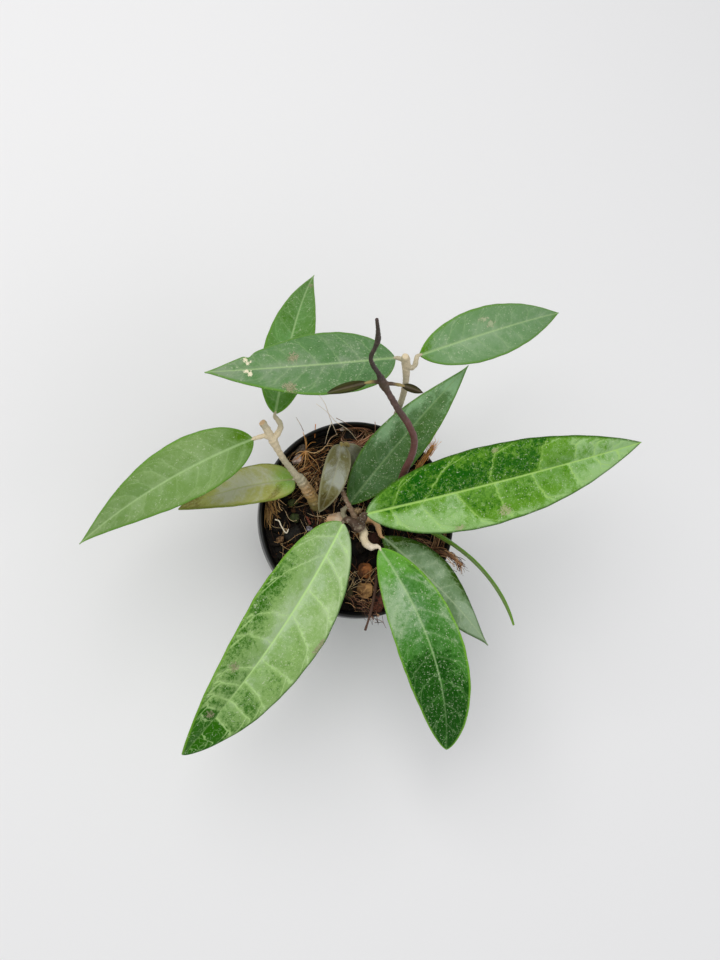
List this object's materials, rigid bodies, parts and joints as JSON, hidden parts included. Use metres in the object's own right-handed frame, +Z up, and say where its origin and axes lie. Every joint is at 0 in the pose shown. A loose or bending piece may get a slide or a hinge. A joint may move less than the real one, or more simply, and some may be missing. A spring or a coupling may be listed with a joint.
{
  "type": "potted plant",
  "caption": "Small trailing houseplant with leathery lance-shaped leaves on bare tan stems and one dark young shoot, in a round black nursery pot of coarse bark mix.",
  "frame": {"origin": "centre of the pot's flat underside, on the surface it stands on", "axes": "+Z up along the pot's axis, +X to the right and +Y away from the viewer as in the reference view"},
  "size_m": [0.2194, 0.1969, 0.1752],
  "materials": {
    "pot_plastic": "black moulded plastic with a soft gloss",
    "potting_mix": "coarse damp bark, coir fibre and grit, dark brown with rust and tan bits",
    "old_stem": "smooth tan corky bark, matt, ringed at the joints",
    "young_shoot": "dark maroon-brown, slightly glossy",
    "leaf_green": "waxy mid green, pale midrib, greyish sheen and pale flecks",
    "leaf_bright": "waxy saturated green, yellow-green midrib and side veins",
    "leaf_dark": "waxy dark blue-green with lighter green margins",
    "leaf_olive": "waxy olive-grey",
    "leaf_silver": "waxy silver-grey with olive ends",
    "bud_leaf": "dark brown with a pale grey stripe",
    "pebble": "smooth matt tan to orange-brown clay pebble",
    "bark": "rough reddish bark",
    "perlite": "chalky off-white grit"
  },
  "bodies": {
    "root": {"pot": "pot_plastic", "potting_mix": "potting_mix", "stem_left": "old_stem", "stem_back": "old_stem", "stem_centre": "old_stem", "shoot_young": "young_shoot", "leaf_left_upper": "leaf_green", "leaf_left_lower": "leaf_olive", "leaf_top": "leaf_green", "leaf_back_left": "leaf_green", "leaf_back_right": "leaf_green", "leaf_dark_upright": "leaf_dark", "leaf_right_large": "leaf_bright", "leaf_front_left": "leaf_bright", "leaf_front": "leaf_dark", "leaf_front_right": "leaf_dark", "leaf_edge_on": "leaf_green", "leaf_silver_small": "leaf_silver", "leaf_silver_twin": "leaf_silver", "bud_leaf_left": "bud_leaf", "bud_leaf_right": "bud_leaf", "pebble_peach": "pebble", "pebble_brown": "pebble", "pebble_tan": "pebble", "bark_chip": "bark", "perlite_pink": "perlite", "perlite_white": "perlite"}
  },
  "joints": []
}
